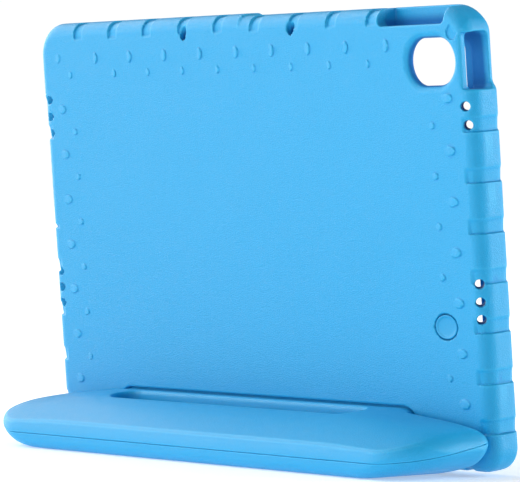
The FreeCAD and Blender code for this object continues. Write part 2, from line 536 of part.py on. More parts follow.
# origin: middle of the footprint box, on the table
# (the exact box of each shape, because the quick one is up to 1 mm too large)
box = FreeCAD.BoundBox()
for obj in pieces:
    box.add(obj.Shape.optimalBoundingBox(False, False))
shift = Vector(0, -round(box.Center.y, 3), -round(box.ZMin, 4))
for obj in pieces:
    obj.Placement = Placement(shift, Rotation()).multiply(obj.Placement)
doc.recompute()

# ------------------------------------------------------------------ checks and export
for obj in doc.Objects:
    state = list(getattr(obj, "State", []))
    if "Invalid" in state or "Error" in state:
        raise RuntimeError("%s: %s" % (obj.Name, state))
for obj in pieces:
    if obj.Shape.isNull() or not obj.Shape.isValid():
        raise RuntimeError(obj.Label + " has no valid shape")
    if len(obj.Shape.Solids) != 1:
        raise RuntimeError("%s has %d solids" % (obj.Label, len(obj.Shape.Solids)))

os.makedirs("parts", exist_ok=True)
for obj in pieces:
    obj.Shape.exportStep("parts/%s.step" % obj.Label)
    bb = obj.Shape.BoundBox
    print("%-22s vol %9.1f mm3  x %.2f..%.2f y %.2f..%.2f z %.2f..%.2f" % (
        obj.Label, obj.Shape.Volume, bb.XMin, bb.XMax, bb.YMin, bb.YMax, bb.ZMin, bb.ZMax))
axis_point = pieces[0].Placement.multVec(Vector(0, a_in, a_up))
print("hinge axis through", [round(v, 4) for v in axis_point], "shift", [round(v, 4) for v in shift])
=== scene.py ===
import bpy
import math
import numpy as np
from mathutils import Matrix, Vector


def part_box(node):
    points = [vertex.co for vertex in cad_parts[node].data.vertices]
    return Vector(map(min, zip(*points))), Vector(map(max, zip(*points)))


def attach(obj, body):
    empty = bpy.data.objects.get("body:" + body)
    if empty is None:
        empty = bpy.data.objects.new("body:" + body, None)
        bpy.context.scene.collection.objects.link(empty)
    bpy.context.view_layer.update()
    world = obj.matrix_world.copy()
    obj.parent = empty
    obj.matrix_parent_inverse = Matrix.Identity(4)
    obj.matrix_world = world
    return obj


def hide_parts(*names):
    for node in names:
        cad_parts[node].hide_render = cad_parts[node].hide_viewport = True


# Foam tablet case with a fold-out handle. The shell and the two handle halves
# are meshed from distance fields in the case's own frame, in millimetres:
# x to the right seen from the back, y from the back face towards the screen,
# z up from the lower edge. One transform leans them back onto the frame.

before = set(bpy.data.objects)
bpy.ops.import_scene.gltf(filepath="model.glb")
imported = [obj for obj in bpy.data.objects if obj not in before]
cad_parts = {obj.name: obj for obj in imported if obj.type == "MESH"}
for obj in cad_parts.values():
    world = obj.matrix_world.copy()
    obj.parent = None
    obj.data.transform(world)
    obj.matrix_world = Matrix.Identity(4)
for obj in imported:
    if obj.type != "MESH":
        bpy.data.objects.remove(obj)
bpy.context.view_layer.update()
scene = bpy.context.scene

LEAN = math.radians(4.8)
SL, CL = math.sin(LEAN), math.cos(LEAN)
lo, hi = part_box("hinge_rod")
AXIS_W = (lo + hi) / 2
ROT = np.array([[1, 0, 0], [0, CL, -SL], [0, SL, CL]])
SHIFT = np.array(AXIS_W) * 1000.0 - ROT @ np.array([0.0, 6.0, 6.0])
GROUND = 6 * CL + 6 * SL - 6


def to_world(p):
    return (p @ ROT.T + SHIFT) / 1000.0


def dir_world(n):
    return n @ ROT.T


# ------------------------------------------------------------------ field tools
def rmax(a, b, r):
    """Intersection with its edge rounded to radius r."""
    return np.minimum(np.maximum(a, b), -r) + np.hypot(np.maximum(a + r, 0), np.maximum(b + r, 0))


def rmin(a, b, r):
    return -rmax(-a, -b, r)


def cut(a, b, r):
    return rmax(a, -b, r)


def smin(a, b, k):
    h = np.clip(0.5 + 0.5 * (b - a) / k, 0, 1)
    return b + (a - b) * h - k * h * (1 - h)


def step(e0, e1, v):
    t = np.clip((v - e0) / (e1 - e0), 0, 1)
    return t * t * (3 - 2 * t)


def rrect(x, z, hx, hz, r):
    qx, qz = np.abs(x) - hx + r, np.abs(z) - hz + r
    return np.minimum(np.maximum(qx, qz), 0) + np.hypot(np.maximum(qx, 0), np.maximum(qz, 0)) - r


def pill(x, z, half_long, r):
    return np.hypot(np.maximum(np.abs(x) - (half_long - r), 0), z) - r


def nearest(centres, v):
    centres = np.asarray(centres, float)
    mids = (centres[1:] + centres[:-1]) / 2
    return centres[np.searchsorted(mids, v)]


def since(starts, v, before):
    """Distance of v past the last of the sorted starts."""
    starts = np.asarray(starts, float)
    k = np.clip(np.searchsorted(starts - before, v, side="right") - 1, 0, len(starts) - 1)
    return v - starts[k]


def curve(xs, ys):
    """Smooth curve through points that never overshoots them."""
    xs, ys = np.asarray(xs, float), np.asarray(ys, float)
    h, d = np.diff(xs), np.diff(ys) / np.diff(xs)
    m = np.zeros_like(ys)
    m[0], m[-1] = d[0], d[-1]
    for i in range(1, len(xs) - 1):
        if d[i - 1] * d[i] > 0:
            w1, w2 = 2 * h[i] + h[i - 1], h[i] + 2 * h[i - 1]
            m[i] = (w1 + w2) / (w1 / d[i - 1] + w2 / d[i])

    def f(v):
        v = np.clip(v, xs[0], xs[-1])
        k = np.clip(np.searchsorted(xs, v, side="right") - 1, 0, len(h) - 1)
        t = (v - xs[k]) / h[k]
        return (ys[k] * (1 + 2 * t) * (1 - t) ** 2 + h[k] * m[k] * t * (1 - t) ** 2
                + ys[k + 1] * t * t * (3 - 2 * t) + h[k] * m[k + 1] * t * t * (t - 1))
    return f


# ------------------------------------------------------------------ shell field
HX, HZ, DEPTH = 141.3, 94.5, 16.0
TOP_GROOVES = [-114.7, -89.7, -65.3, -40.5, -16.5, 7.7, 32.7, 56.5, 81.3]
SIDE_GROOVES = [17.4, 37.4, 57.9, 77.7, 97.6, 117.9, 138.2]
LOW_GROOVES = [-128.9, 120.6]
GW = 5.6
TOP_LARGE = [-99.1, -74.6, -50.2, -25.8, -1.4, 21.9, 45.0, 68.6, 93.2]
TOP_SMALL = [-86.8, -62.9, -39.0, -15.0, 9.0, 33.0, 57.0, 80.9]
SIDE_LARGE = [29.3, 49.7, 70.0, 90.3, 110.6, 131.0, 151.4]
SIDE_SMALL = [39.5, 59.9, 80.2, 100.6, 120.9, 141.2]
PLUG = (118.3, 60.2)


def groove(t):
    """Groove across an edge: steep on its first side, running out on the other."""
    return step(-0.2, 0.3, t) * (1.0 - 0.1 * np.clip(t, 0, 5)) * (1 - step(4.9, 6.5, t))


def drop(dx, dz, ra, rb, high):
    """Raised drop: a crisp step on the right that runs out to the left."""
    rho = np.hypot(dx / ra, dz / rb)
    rim = 1 - step(0.90, 1.08, rho)
    return high * rim * (0.12 + 0.88 * step(-0.95 * ra, 0.45 * ra, dx)) * (1 - 0.12 * np.minimum(rho, 1) ** 2)


def back_relief(x, z):
    h = drop(x - nearest(TOP_LARGE, x) + 0.8, z - 174.0, 1.8, 2.4, 0.5) * (x < 96)
    h = np.maximum(h, drop(x - nearest(TOP_SMALL, x), z - 166.8, 1.25, 1.6, 0.42) * (x < 84))
    h = np.maximum(h, drop(x + 127.4, z - 174.3, 1.8, 1.8, 0.32))
    h = np.maximum(h, drop(x + 119.1, z - 166.7, 1.6, 1.6, 0.35))
    zl, zs = z - nearest(SIDE_LARGE, z), z - nearest(SIDE_SMALL, z)
    h = np.maximum(h, drop(x - 126.6, zl - 0.6 * (z > 145), 3.2, 1.85, 0.5))
    h = np.maximum(h, drop(x + 126.6, zl, 3.2, 1.85, 0.45))
    keep = np.hypot((x - PLUG[0]) / 9, (z - PLUG[1]) / 8) > 1
    h = np.maximum(h, drop(x - 117.0 - 0.0165 * (141 - z), zs, 1.85, 1.35, 0.42) * keep)
    h = np.maximum(h, drop(x + 118.1, zs, 1.95, 1.3, 0.38))
    return h


def outline(x, z):
    zc = z - HZ
    return np.where(zc > 0, rrect(x, zc, HX, HZ, np.where(x > 0, 18.0, 13.5)), rrect(x, zc, HX, HZ - 1.6, 10.0))


def groove_depth(x, z):
    zc = z - HZ
    ends = (HZ - np.abs(zc)) < (HX - np.abs(x))
    top = groove(since(TOP_GROOVES, x, 1.0)) * (zc > 0) * (np.abs(x) < 120)
    low = groove(since(LOW_GROOVES, x, 1.0)) * (zc < 0) * (np.abs(x) > 118)
    side = groove(since(SIDE_GROOVES, z, 1.0))
    side = side * (1 - step(98, 100, z) * (1 - step(127, 129, z)) * (x < 0))
    inner = np.maximum(np.abs(x) - HX, np.abs(zc) - HZ)
    return np.where(ends, top + low, side) * 1.05 * step(-7.2, -5.4, inner)


def f_shell(x, y, z):
    d2 = outline(x, z)
    wave = 0.05 * np.sin(0.071 * x + 1.1) * np.sin(0.093 * z + 0.4)
    a = d2 + 0.45 * np.clip((y - 9.0) / 7.0, 0, 1.5) ** 2
    a = a - 0.9 * step(155.0, 158.0, z) * (x < 0)
    # the right side steps in beside its button window
    a = rmax(a, -rmax(138.9 - x, 156.0 - z, 3.0), 2.2)
    back = -y - back_relief(x, z) * step(3.0, 6.0, -d2) + wave * step(4, 20, -d2)
    d = np.maximum(rmax(a, back, 6.0), rmax(a, y - DEPTH, 3.5))
    d = d + groove_depth(x, z) * (1 - step(14.2, 16.2, y))
    # groove end on the upper right corner
    gx, gz = x - 131.0, z - 177.8
    along = np.clip(0.62 * gx + 0.78 * gz, 0, 3.5)
    tail = np.hypot(gx - 0.62 * along, gz - 0.78 * along) - 2.7
    fade = 1 - step(-0.5, 3.6, 0.62 * gx + 0.78 * gz)
    d = d + 0.75 * step(0.3, -0.3, tail) * fade * (y < 8)
    # tablet space and screen opening
    c1 = rmax(rrect(x, z - HZ, 129.5, 81.8, 7.0), np.abs(y - 8.9) - 3.9, 1.0)
    # the lip is a little narrower beside the upper sound holes
    relief = 2.8 * step(133, 139, z) * (1 - step(151, 156, z)) * (x > 0)
    c2 = rmax(rrect(x, z - 95.4, 125.0 + 0.8 * step(150, 125, z) + relief, 80.5, 5.0), 11.5 - y, 0.5)
    d = cut(d, rmin(c1, c2, 0.7), 1.1)
    # camera opening
    d = cut(d, np.maximum(pill(x - 117.9, z - 166.7, 12.95, 9.4) - 0.08 * np.clip(4.0 - y, 0, 5), y - 7.0), 3.0)
    # button windows
    w1 = rmax(rrect(x - 107.5, z - 191.7, 19.5, 10.0, 2.5), np.abs(y - 5.0) - 6.0, 0.8)
    w1b = rmax(rrect(x - 107.25, z - 181.5, 19.25, 10.0, 1.0), np.abs(y - 8.0) - 3.0, 0.8)
    d = cut(d, rmin(w1, w1b, 0.6), 0.6)
    w2 = rmax(rrect(y - 6.0, z - 166.5, 6.4, 11.3, 2.2), 135.5 - x, 0.8)
    w2b = rmax(rrect(y - 7.9, z - 166.5, 4.5, 11.3, 2.2), 130.0 - x, 0.8)
    w2c = rmax(rrect(y - 8.6, z - 166.5, 3.8, 11.3, 1.5), 124.0 - x, 0.8)
    d = cut(d, rmin(rmin(w2, w2b, 0.5), w2c, 0.5), 0.7)
    # charging port cut-out
    d = cut(d, np.maximum(pill(z - 113.5, y - 8.9, 11.5, 4.5), x + 125.0), 1.2)
    # sound holes: slanted through the rounded edge into the tablet space
    for side, rows in ((1, (148.1, 140.6, 77.8, 70.6, 63.6)), (-1, (155.7, 148.1, 140.6, 77.8, 70.6, 63.6))):
        q = side * x
        px, py = q - 136.0, y - 0.9
        if side > 0:
            px = px - np.where(z > 144, 0.5, np.where(z > 120, 1.3, 2.5))
        ca, sa = (np.where(z > 120, 0.637, 0.74), np.where(z > 120, 0.771, 0.673)) if side > 0 else (0.74, 0.673)
        reach = np.where(z > 120, 13.6, 14.5) if side > 0 else 10.5
        along = -ca * px + sa * py
        across = sa * px + ca * py
        zz = z - nearest(sorted(rows), z) - (0.5 if side > 0 else 0.0) * (z > 120)
        hole = np.maximum(np.hypot(across, zz) - 1.9, np.maximum(along - reach, -4.5 - along))
        d = cut(d, hole, 0.45)
    pz, py = z - 182.9, y - 0.9
    along = -0.74 * pz + 0.673 * py
    across = 0.673 * pz + 0.74 * py
    hole = np.maximum(np.hypot(across, x - nearest([-37.0, 34.0], x)) - 2.2, np.abs(along - 3.0) - 7.5)
    d = cut(d, hole, 0.45)
    # hole of the oval plug
    ex, ez = x - PLUG[0], z - PLUG[1]
    k = np.hypot(ex / 6.75, ez / 5.35)
    mouth = (k - 1) * 5.6
    d = cut(d, np.maximum(mouth, y - 2.1), 0.3)
    k = np.hypot(ex / 4.3, ez / 2.9)
    d = np.maximum(d, -np.maximum((k - 1) * 3.2, y - 7.0))
    # hinge notch along the lower edge, with a shallow recess above it
    ay, az = y - 6.0, z - 6.0
    knuckle = np.where((ay > 0) & (az > 0), np.hypot(ay, az) - 4.4, np.maximum(ay, az) - 4.4)
    ends = np.abs(x) - 98.3
    notch = rmax(knuckle, ends, 0.3)
    recess = rmax(rmax(np.abs(x) - 98.3, z - 26.9, 8.5), y - 2.5, 0.5)
    d = cut(d, rmin(notch, recess, 0.8), 0.7)
    # bores of the two hinge sockets
    d = np.maximum(d, -np.maximum(np.hypot(ay, az) - 3.62, np.abs(np.abs(x) - 98.3) - 14.0))
    return d


# ------------------------------------------------------------------ handle field
TW = curve([-4, 0.5, 3, 7.5, 14, 22, 29, 36, 42.5, 47], [26.1, 26.4, 26.7, 26.9, 26.8, 26.1, 24.2, 21.3, 18.0, 15.6])
TX_ROOT = curve([80, 90, 97, 101, 106, 118, 126, 133, 140.5, 142.3, 144, 146], [26.9, 26.85, 25.9, 24.0, 23.1, 21.8, 21.2, 20.5, 18.9, 16.9, 13.5, 9.0])
TX = curve([66, 84, 100, 114, 126, 133, 139, 141.6, 143.2, 146], [26.9, 26.6, 25.7, 24.5, 23.3, 22.1, 20.2, 18.2, 15.8, 9.0])
RISE = curve([100, 108, 116, 124, 130, 135, 139, 146], [0.0, 0.1, 0.7, 1.9, 3.0, 4.2, 5.4, 7.6])
HALF, FRONT, ROOT = 143.4, 45.8, 0.3


def seam(w):
    return 14.6 - 0.0935 * (w - 7.0)


def corner(qx, qz, r):
    return np.minimum(np.maximum(qx, qz), 0) + np.hypot(np.maximum(qx, 0), np.maximum(qz, 0)) - r


def handle_body(x, y, z):
    w = -y
    s = z - seam(w)
    ax = np.abs(x)
    # D-shaped plan: small radii at the root, large ones at the front; along
    # the bar the root runs on into the recess of the shell
    root = ROOT - 2.5 * step(98.6, 97.2, ax)
    plan = np.maximum(corner(ax - (HALF - 26.0), w - (FRONT - 26.0), 26.0), corner(ax - (HALF - 7.0), root + 7.0 - w, 7.0))
    side = plan + 0.047 * np.maximum(s, 0) ** 2 + 0.012 * np.minimum(s, 0) ** 2
    drop_w = np.maximum(26.9 - TW(w), 0)
    near = step(9.0, 0.5, w)
    drop_x = np.maximum(26.9 - TX(ax), 0) * (1 - near) + np.maximum(26.9 - TX_ROOT(ax), 0) * near
    top = z - 26.9 + (drop_w ** 1.6 + drop_x ** 1.6) ** 0.625
    top = top * 0.93
    bot = GROUND + RISE(ax) - (y * SL + z * CL)
    rb = 4.5 + 4.5 * step(108, 134, ax)
    d = rmax(side, top, 0.7 + 3.3 * step(37, 24, w) * step(108, 125, ax)) + 0.13 * step(0.7, 0.0, np.abs(side - top)) * (w > 34)
    d = rmax(d, bot, rb)
    # hinge bar that fills the recess of the shell
    bar = rmax(rmax(ax - 98.0, z - 26.1, 8.3), np.maximum(y - 2.2, -y - 3.0), 0.5)
    bar = rmax(bar, 10.1 - z, 0.4)
    kn = np.hypot(y - 6.0, z - 6.0) - 4.1
    neck = np.maximum(np.maximum(np.abs(z - 6.0) - 4.1, y - 6.0), -y - 3.0)
    knuckle = rmax(np.minimum(kn, neck), ax - 98.0, 0.5)
    # below the bar's neck nothing but the knuckle reaches into the notch
    d = np.maximum(d, np.minimum(y + 0.3, np.maximum(10.1 - z, rmax(ax - 98.0, z - 26.1, 8.3))))
    d = rmin(d, np.minimum(bar, knuckle), 0.6)
    # finger slot
    slot = rrect(x, w - 14.75, 79.0, 7.25, 6.6)
    d = cut(d, slot, 1.7)
    # bore for the rod
    return np.maximum(d, 2.01 - np.hypot(y - 6.0, z - 6.0))


def f_upper(x, y, z):
    return rmax(handle_body(x, y, z), 0.02 - (z - seam(-y)), 0.38)


def f_lower(x, y, z):
    return rmax(handle_body(x, y, z), (z - seam(-y)) + 0.02, 0.38)


# ------------------------------------------------------------------ meshing
def surface(f, xs, ys, zs, warp=None):
    """Closed mesh of f = 0 on a box grid, one vertex a cell, drawn onto the surface."""
    X, Y, Z = xs[:, None, None], ys[None, :, None], zs[None, None, :]
    if warp is not None:
        Z = Z + warp(Y)
    F = np.empty((len(xs), len(ys), len(zs)), np.float32)
    chunk = 48
    for i in range(0, len(xs), chunk):
        F[i:i + chunk] = f(X[i:i + chunk], Y, Z)
    F[0], F[-1] = 1, 1
    F[:, 0], F[:, -1] = 1, 1
    F[:, :, 0], F[:, :, -1] = 1, 1
    inside = F < 0
    count = np.zeros(tuple(n - 1 for n in F.shape), np.int8)
    for a in (0, 1):
        for b in (0, 1):
            for c in (0, 1):
                count += inside[a:F.shape[0] - 1 + a, b:F.shape[1] - 1 + b, c:F.shape[2] - 1 + c]
    active = (count > 0) & (count < 8)
    cells = np.argwhere(active)
    index = np.full(active.shape, -1, np.int64)
    index[active] = np.arange(len(cells))
    corner = {}
    for a in (0, 1):
        for b in (0, 1):
            for c in (0, 1):
                corner[(a, b, c)] = F[cells[:, 0] + a, cells[:, 1] + b, cells[:, 2] + c].astype(float)
    total, hits = np.zeros((len(cells), 3)), np.zeros(len(cells))
    for axis in range(3):
        for u in (0, 1):
            for v in (0, 1):
                p, q = [0, 0, 0], [0, 0, 0]
                others = [i for i in range(3) if i != axis]
                p[others[0]] = q[others[0]] = u
                p[others[1]] = q[others[1]] = v
                q[axis] = 1
                A, B = corner[tuple(p)], corner[tuple(q)]
                m = (A < 0) != (B < 0)
                t = np.where(m, A / np.where(m, A - B, 1), 0)
                point = np.tile(np.array(p, float), (len(cells), 1))
                point[:, axis] = t
                total += point * m[:, None]
                hits += m
    local = total / hits[:, None]
    V = np.empty((len(cells), 3))
    for k, line in enumerate((xs, ys, zs)):
        c = cells[:, k]
        V[:, k] = line[c] + local[:, k] * (line[c + 1] - line[c])
    if warp is not None:
        V[:, 2] += warp(V[:, 1])
    quads = []
    for axis in range(3):
        sl0 = [slice(1, -1)] * 3
        sl1 = [slice(1, -1)] * 3
        sl0[axis], sl1[axis] = slice(0, -1), slice(1, None)
        A, B = inside[tuple(sl0)], inside[tuple(sl1)]
        for flip, m in ((False, A & ~B), (True, ~A & B)):
            at = np.argwhere(m)
            if not len(at):
                continue
            at = at + 1
            at[:, axis] -= 1
            o1, o2 = [i for i in range(3) if i != axis]
            e1, e2 = np.zeros(3, int), np.zeros(3, int)
            e1[o1], e2[o2] = 1, 1
            ring = [at - e1 - e2, at - e2, at, at - e1]
            q = np.stack([index[r[:, 0], r[:, 1], r[:, 2]] for r in ring], 1)
            if flip != (axis == 1):
                q = q[:, ::-1]
            quads.append(q)
    quads = np.concatenate(quads)
    return V, quads


def gradient(f, V, e=0.02):
    g = np.empty_like(V)
    for k in range(3):
        P, M = V.copy(), V.copy()
        P[:, k] += e
        M[:, k] -= e
        g[:, k] = (f(*P.T) - f(*M.T)) / (2 * e)
    return g


def draw_on(f, V, rounds, cap):
    start = V.copy()
    for _ in range(rounds):
        g = gradient(f, V)
        n2 = np.maximum((g * g).sum(1), 0.2)
        V = V - g * (f(*V.T) / n2)[:, None]
        off = V - start
        far = np.linalg.norm(off, axis=1, keepdims=True)
        V = start + off * np.minimum(1, cap / np.maximum(far, 1e-9))
    return V


def bend(f, V, e=0.35):
    """How convex (+) or hollow (-) the surface is at each point, per millimetre."""
    c = f(*V.T)
    total = -6 * c
    for k in range(3):
        for s in (-e, e):
            P = V.copy()
            P[:, k] += s
            total = total + f(*P.T)
    return total / (e * e)


def hollow(f, V):
    """How closed-in each point is by the piece's own walls, 0 (open) to 1: an ambient-occlusion amount that the
    material turns into painted shade.
    """
    ways = [(a, b, c) for a in (-1, 0, 1) for b in (-1, 0, 1) for c in (-1, 0, 1) if abs(a) + abs(b) + abs(c) in (1, 3)]
    total = 0
    for t in (4.0, 9.0):
        for way in ways:
            d = np.array(way, float)
            d *= t / np.linalg.norm(d)
            total = total + np.clip(f(*(V + d).T) / t, 0, 1)
    return np.clip(1 - total / (2 * 3.31), 0, 1)


def mesh_piece(name, f, xs, ys, zs, warp, keep, body, node):
    V, Q = surface(f, xs, ys, zs, warp)
    V = draw_on(f, V, 3, 0.6)
    mesh = bpy.data.meshes.new(name)
    mesh.from_pydata(V.tolist(), [], Q.tolist())
    obj = bpy.data.objects.new(name, mesh)
    scene.collection.objects.link(obj)
    if keep < 1:
        mod = obj.modifiers.new("reduce", "DECIMATE")
        mod.ratio = keep
        dg = bpy.context.evaluated_depsgraph_get()
        new = bpy.data.meshes.new_from_object(obj.evaluated_get(dg))
        obj.modifiers.clear()
        obj.data = new
        bpy.data.meshes.remove(mesh)
        mesh = new
        mesh.name = name
    co = np.empty(len(mesh.vertices) * 3)
    mesh.vertices.foreach_get("co", co)
    V = draw_on(f, co.reshape(-1, 3), 2, 0.12)
    n = gradient(f, V)
    n /= np.maximum(np.linalg.norm(n, axis=1, keepdims=True), 1e-9)
    edge = np.clip(bend(f, V), -2, 2)
    W = to_world(V)
    mesh.vertices.foreach_set("co", W.astype(np.float32).ravel())
    mesh.update()
    mesh.shade_smooth()
    mesh.normals_split_custom_set_from_vertices([tuple(v) for v in dir_world(n)])
    attribute = mesh.attributes.new("edge", "FLOAT", "POINT")
    attribute.data.foreach_set("value", edge.astype(np.float32))
    # the 'hollow' attribute holds the amount of painted shade the material mixes into the colour
    attribute = mesh.attributes.new("hollow", "FLOAT", "POINT")
    shade_amount = hollow(f, V)
    if f is not f_shell:
        # the painted shade is capped on the handle, so the long faces of the finger slot keep an even tone
        shade_amount = np.minimum(shade_amount, 0.34)
    if f is f_shell:
        # painted shade by depth below the outer skin: openings get painted darker, grooves do not
        rim = -outline(V[:, 0], V[:, 2])
        depth = np.minimum(rim, V[:, 1])
        shade_amount = shade_amount * step(0.9, 2.6, depth)
        shade_amount = np.maximum(shade_amount, 0.6 * step(1.8, 6.5, depth) * (V[:, 2] > 30))
        # painted shade on the wall round the camera opening
        shade_amount = np.maximum(shade_amount, 0.60 * step(0.05, 2.0, V[:, 1]) * (rim > 9) * (V[:, 2] > 150))
        # no painted shade on the inner back face of the tablet space, nor on the lip
        shade_amount = shade_amount * ~((np.maximum(np.abs(V[:, 0]) - 129.9, np.abs(V[:, 2] - HZ) - 82.2) < 0) & (V[:, 1] > 4.7) & (V[:, 1] < 5.8))
        shade_amount = shade_amount * (1 - step(12.6, 13.6, V[:, 1]))
    attribute.data.foreach_set("value", shade_amount.astype(np.float32))
    mesh.validate(clean_customdata=False)
    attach(obj, body)
    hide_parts(node)
    print(name, len(mesh.vertices), "vertices", len(mesh.polygons), "faces")
    return obj


def lines(a, b, h):
    return np.linspace(a, b, int(round((b - a) / h)) + 1)


H = 0.75
seam_z = lambda y: seam(-y)

shell = mesh_piece(
    "foam_shell", f_shell, lines(-143.1, 143.2, H), lines(-1.7, 17.3, H), lines(-1.6, 190.9, H), None,
    0.36, "case", "shell")
fine = lines(-0.7, 1.5, 0.25)
upper = mesh_piece(
    "handle_upper", f_upper, lines(-144.6, 144.7, H), lines(-47.4, 4.0, H),
    np.concatenate([fine, lines(1.5 + H, 15.5, H)]), seam_z, 0.4, "handle", "handle_upper_half")
lower = mesh_piece(
    "handle_lower", f_lower, lines(-144.6, 144.7, H), lines(-47.4, 12.0, H),
    np.concatenate([lines(-17.5, -1.5 - H, H), -fine[::-1]]), seam_z, 0.4, "handle", "handle_lower_half")


# ------------------------------------------------------------------ oval plug
def plug_mesh():
    """Head with a bevelled rim and a dished middle, on a narrower stem."""
    n = 96
    prof = [(0.0, 0.62, 0), (0.35, 0.60, 0), (0.62, 0.55, 0), (0.74, 0.50, 0), (0.80, 0.36, 0), (0.85, 0.20, 0), (0.89, 0.13, 0), (0.935, 0.12, 0),
            (0.965, 0.17, 0), (0.985, 0.30, 0), (1.0, 0.55, 0), (1.0, 1.2, 0), (1.0, 1.9, 0), (0.985, 1.98, 0), (0.96, 2.0, 0)]
    rings = [(6.32 * s, 4.95 * s, d) for s, d, _ in prof[1:]]
    rings += [(4.25, 2.85, 2.0), (4.2, 2.8, 2.1), (4.2, 2.8, 3.5), (4.2, 2.8, 4.9), (4.1, 2.7, 5.0), (2.0, 1.3, 5.0)]
    V = [(PLUG[0], prof[0][1], PLUG[1])]
    for a, b, d in rings:
        for i in range(n):
            t = 2 * math.pi * i / n
            V.append((PLUG[0] + a * math.cos(t), d, PLUG[1] + b * math.sin(t)))
    V.append((PLUG[0], 5.0, PLUG[1]))
    F = [(0, 1 + (i + 1) % n, 1 + i) for i in range(n)]
    for k in range(len(rings) - 1):
        a, b = 1 + k * n, 1 + (k + 1) * n
        F += [(a + i, a + (i + 1) % n, b + (i + 1) % n, b + i) for i in range(n)]
    last = len(V) - 1
    base = 1 + (len(rings) - 1) * n
    F += [(base + i, base + (i + 1) % n, last) for i in range(n)]
    mesh = bpy.data.meshes.new("plug_disc")
    mesh.from_pydata(to_world(np.array(V)).tolist(), [], F)
    mesh.shade_smooth()
    obj = bpy.data.objects.new("plug_disc", mesh)
    scene.collection.objects.link(obj)
    mod = obj.modifiers.new("smooth", "SUBSURF")
    mod.levels = mod.render_levels = 1
    dg = bpy.context.evaluated_depsgraph_get()
    new = bpy.data.meshes.new_from_object(obj.evaluated_get(dg))
    obj.modifiers.clear()
    obj.data = new
    bpy.data.meshes.remove(mesh)
    new.name = "plug_disc"
    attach(obj, "case")
    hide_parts("oval_plug")
    return obj


plug = plug_mesh()


# ------------------------------------------------------------------ materials
def node(nt, kind, at=(0, 0), **values):
    n = nt.nodes.new(kind)
    n.location = at
    for k, v in values.items():
        setattr(n, k, v)
    return n


